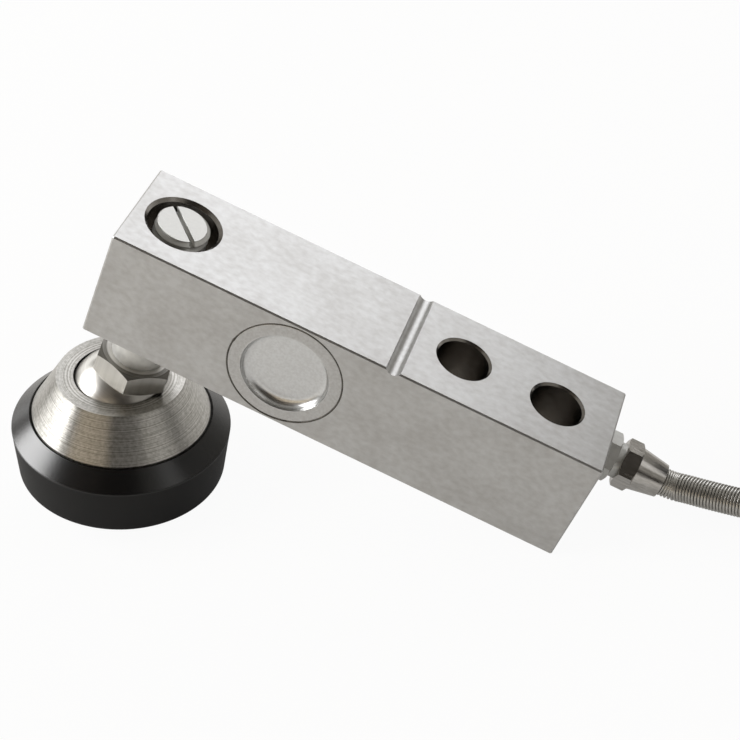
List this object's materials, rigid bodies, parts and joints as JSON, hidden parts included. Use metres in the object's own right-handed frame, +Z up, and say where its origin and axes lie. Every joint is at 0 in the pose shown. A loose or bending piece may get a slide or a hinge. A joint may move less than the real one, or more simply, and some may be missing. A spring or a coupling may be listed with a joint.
{
  "type": "cantilever beam load cell",
  "caption": "Shear beam load cell: square steel beam with dished gauge covers and bolt holes, a ball-jointed levelling foot on a slotted screw, and a cable gland with spring and coiled cable.",
  "frame": {"origin": "on the surface that the cell lies on, under the middle of its box without the cable", "axes": "+X along the floor from the load end to the tail, +Y from the front cover to the rear cover, +Z up"},
  "size_m": [0.2672, 0.0869, 0.0892],
  "materials": {
    "machined_steel": "ground and satin nickel plated",
    "cover_steel": "pressed sheet, satin",
    "gauge_film": "polyimide film",
    "solder_board": "glass fibre board",
    "screw_steel": "bright nickel plated thread",
    "nickel_plate": "bright nickel plated",
    "bearing_plastic": "turned acetal",
    "turned_steel": "turned, fine lathe rings",
    "pad_rubber": "moulded",
    "gland_nickel": "nickel plated brass",
    "seal_rubber": "moulded",
    "spring_steel": "drawn wire",
    "cable_jacket": "extruded PVC",
    "core_insulation": "extruded PVC",
    "core_red": "extruded PVC",
    "core_green": "extruded PVC",
    "core_white": "extruded PVC",
    "core_black": "extruded PVC",
    "tinned_braid": "tinned copper braid, twisted",
    "tie_nylon": "moulded nylon"
  },
  "bodies": {
    "beam": {"beam": "machined_steel", "front_cover": "cover_steel", "rear_cover": "cover_steel", "front_gauge": "gauge_film", "rear_gauge": "gauge_film", "terminal_board": "solder_board", "gland_body": "gland_nickel", "gland_nut": "gland_nickel", "gland_o_ring": "seal_rubber", "gland_seal": "seal_rubber", "anti_kink_spring": "spring_steel", "cable_end": "cable_jacket", "cable_lead": "cable_jacket", "cable_coil": "cable_jacket", "cable_tail": "cable_jacket", "inner_cores": "core_insulation", "core_red": "core_red", "core_green": "core_green", "core_white": "core_white", "core_black": "core_black", "shield_tail": "tinned_braid", "cable_tie_a": "tie_nylon", "cable_tie_b": "tie_nylon"},
    "screw": {"levelling_screw": "screw_steel"},
    "ball_head": {"ball_head": "nickel_plate"},
    "bearing_shells": {"retaining_ring": "bearing_plastic", "ball_seat": "bearing_plastic"},
    "foot": {"foot_body": "turned_steel", "base_plate": "turned_steel", "rubber_base": "pad_rubber"}
  },
  "joints": [
    {"name": "stud_height", "type": "slide", "parent": "beam", "child": "screw", "axis": [0.4741, 0, 0.8805], "range_m": [-0.008, 0.013]},
    {"name": "head_turn", "type": "hinge", "parent": "screw", "child": "ball_head", "pos_m": [-0.05603, 0, 0.02786], "axis": [0.4741, 0, 0.8805], "continuous": true},
    {"name": "foot_tilt", "type": "hinge", "parent": "ball_head", "child": "bearing_shells", "pos_m": [-0.05603, 0, 0.02786], "axis": [0, 1, 0], "range_deg": [0, 32]},
    {"name": "foot_spin", "type": "hinge", "parent": "bearing_shells", "child": "foot", "pos_m": [-0.05603, 0, 0.02786], "axis": [0.213, 0, 0.9771], "continuous": true}
  ]
}
